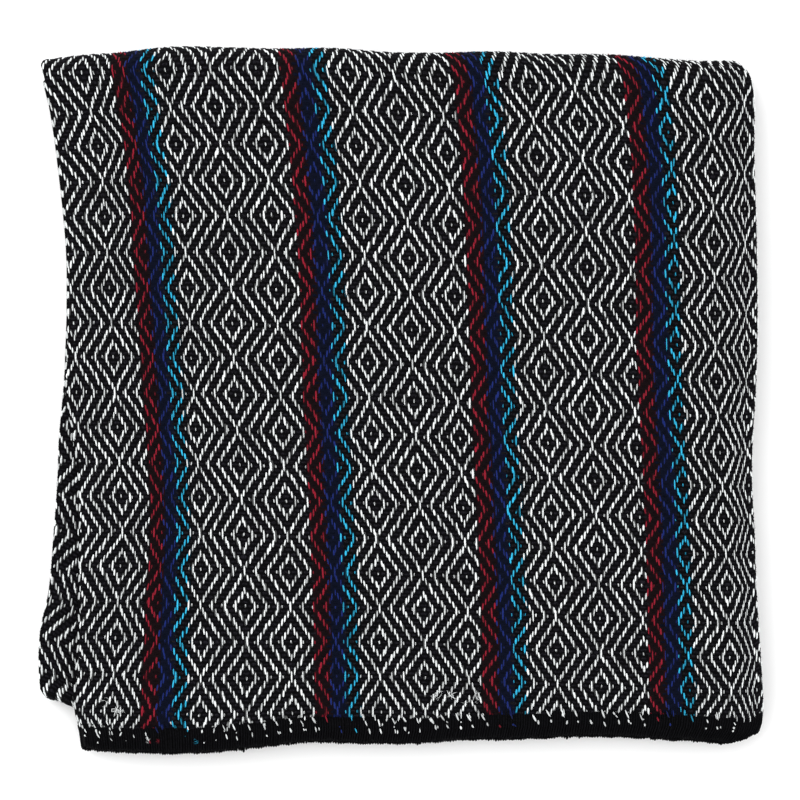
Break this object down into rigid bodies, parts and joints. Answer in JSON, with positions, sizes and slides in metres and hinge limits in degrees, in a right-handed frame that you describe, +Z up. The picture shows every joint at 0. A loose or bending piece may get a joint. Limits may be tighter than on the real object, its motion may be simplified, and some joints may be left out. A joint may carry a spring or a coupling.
{
  "type": "folded woven blanket",
  "caption": "Thick acrylic blanket in diamond twill, folded in thirds across and in quarters lengthwise into a flat square stack with overlocked hems.",
  "frame": {"origin": "centre of the underside of the folded stack, on the surface it lies on", "axes": "+Z up out of the top panel; +Y from the hems towards the top fold; +X to the right when the hems face the viewer"},
  "size_m": [0.521, 0.5095, 0.0453],
  "materials": {
    "woven_acrylic": "thick diamond twill, matt and slightly fuzzy, black weft with white, red, blue and turquoise warp"
  },
  "bodies": {
    "root": {"blanket": "woven_acrylic"}
  },
  "joints": []
}
